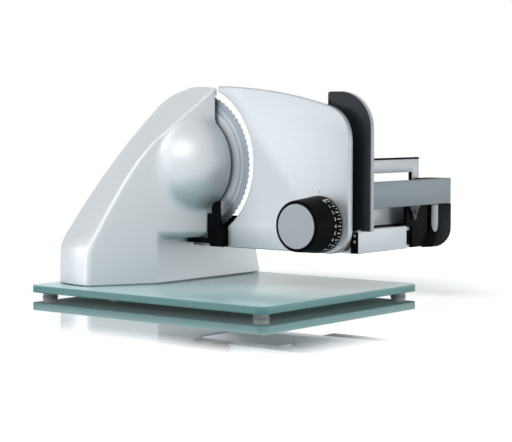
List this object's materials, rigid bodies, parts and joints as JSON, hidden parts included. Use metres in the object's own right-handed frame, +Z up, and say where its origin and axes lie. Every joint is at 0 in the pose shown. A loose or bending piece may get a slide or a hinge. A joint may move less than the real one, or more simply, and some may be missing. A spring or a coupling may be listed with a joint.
{
  "type": "food slicer",
  "caption": "Electric food slicer: round toothed blade on a cast tower over a glass base, stop plate set by a thickness knob, and a sliding carriage with a thumb guard.",
  "frame": {"origin": "middle of the outline seen from above, on the surface the slicer stands on", "axes": "+Z up; +X along the carriage's travel, towards the user; +Y from the blade towards the food"},
  "size_m": [0.3522, 0.356, 0.2436],
  "materials": {
    "cast_aluminium": "satin, cast",
    "satin_aluminium": "satin",
    "steel": "brushed",
    "blade_steel": "ground",
    "glass": "clear, tinted",
    "black_plastic": "fine grain",
    "slate_plastic": "fine grain",
    "rubber": "matt",
    "gear_plastic": "plain",
    "bronze": "machined"
  },
  "bodies": {
    "slicer_body": {"glass_base_plate": "glass", "foot_back_left": "rubber", "foot_back_right": "rubber", "foot_front_left": "rubber", "foot_front_right": "rubber", "base_gasket": "rubber", "base_screw_1": "steel", "base_screw_2": "steel", "base_screw_3": "steel", "base_screw_4": "steel", "tower_housing": "cast_aluminium", "switch_bezel": "black_plastic", "cord_inlet": "black_plastic", "motor_body": "steel", "motor_bracket": "cast_aluminium", "worm_bush": "bronze", "shaft_bearing_inner": "bronze", "shaft_bearing_outer": "bronze", "gear_cover": "cast_aluminium", "blade_edge_guard": "black_plastic", "guide_arm": "cast_aluminium", "arm_end_plate": "cast_aluminium", "guide_rod": "steel", "rod_holder_back": "black_plastic", "rod_holder_front": "black_plastic", "guide_bush_1": "bronze", "guide_bush_2": "bronze", "lead_nut": "bronze"},
    "blade_unit": {"blade": "blade_steel", "blade_carrier": "steel", "blade_shaft": "steel", "worm_wheel": "gear_plastic"},
    "blade_lock_cap": {"blade_lock": "black_plastic"},
    "motor_rotor": {"motor_shaft": "steel", "cooling_fan": "gear_plastic"},
    "stop_unit": {"stop_plate": "satin_aluminium", "stop_plate_cover": "satin_aluminium", "guide_pin_1": "steel", "guide_pin_2": "steel"},
    "knob_unit": {"knob": "black_plastic", "knob_cap": "satin_aluminium", "knob_spindle": "steel", "knob_gear": "gear_plastic"},
    "screw_unit": {"lead_screw": "steel", "screw_gear": "gear_plastic"},
    "carriage": {"carriage_table": "satin_aluminium", "glide_strip": "gear_plastic", "carriage_fence": "steel", "thumb_guard": "slate_plastic", "grip_bar": "steel", "handle_shell": "black_plastic", "carriage_bracket": "black_plastic", "shoe_rear": "gear_plastic", "shoe_front": "gear_plastic", "lever_pin": "steel"},
    "carriage_lever": {"lock_lever": "slate_plastic"},
    "power_button": {"switch_button": "slate_plastic"}
  },
  "joints": [
    {"name": "blade_spin", "type": "hinge", "parent": "slicer_body", "child": "blade_unit", "pos_m": [-0.0661, -0.014, 0.153], "axis": [0, 1, 0], "continuous": true},
    {"name": "motor_spin", "type": "hinge", "parent": "slicer_body", "child": "motor_rotor", "pos_m": [-0.1041, -0.05, 0.153], "axis": [0, 0, 1], "continuous": true},
    {"name": "lock_turn", "type": "hinge", "parent": "blade_unit", "child": "blade_lock_cap", "pos_m": [-0.0661, -0.008, 0.153], "axis": [0, 1, 0], "range_deg": [0, 90]},
    {"name": "stop_slide", "type": "slide", "parent": "slicer_body", "child": "stop_unit", "axis": [0, -1, 0], "range_m": [0, 0.02]},
    {"name": "knob_turn", "type": "hinge", "parent": "stop_unit", "child": "knob_unit", "pos_m": [0.1239, -0.034, 0.0885], "axis": [0, -1, 0], "range_deg": [0, 330]},
    {"name": "screw_turn", "type": "hinge", "parent": "stop_unit", "child": "screw_unit", "pos_m": [0.1239, 0.006, 0.071], "axis": [0, -1, 0], "range_deg": [-330, 0]},
    {"name": "carriage_slide", "type": "slide", "parent": "slicer_body", "child": "carriage", "axis": [-1, 0, 0], "range_m": [0, 0.195]},
    {"name": "lever_tilt", "type": "hinge", "parent": "carriage", "child": "carriage_lever", "pos_m": [0.1667, 0.105, 0.098], "axis": [1, 0, 0], "range_deg": [0, 18]},
    {"name": "switch_press", "type": "slide", "parent": "slicer_body", "child": "power_button", "axis": [1, 0, 0], "range_m": [0, 0.003], "stiffness_N_per_m": 300}
  ],
  "couplings": [
    {"joint": "motor_spin", "follows": "blade_spin", "ratio": -32},
    {"joint": "knob_turn", "follows": "stop_slide", "rad_per_m": 287.97},
    {"joint": "screw_turn", "follows": "stop_slide", "rad_per_m": -287.97}
  ]
}
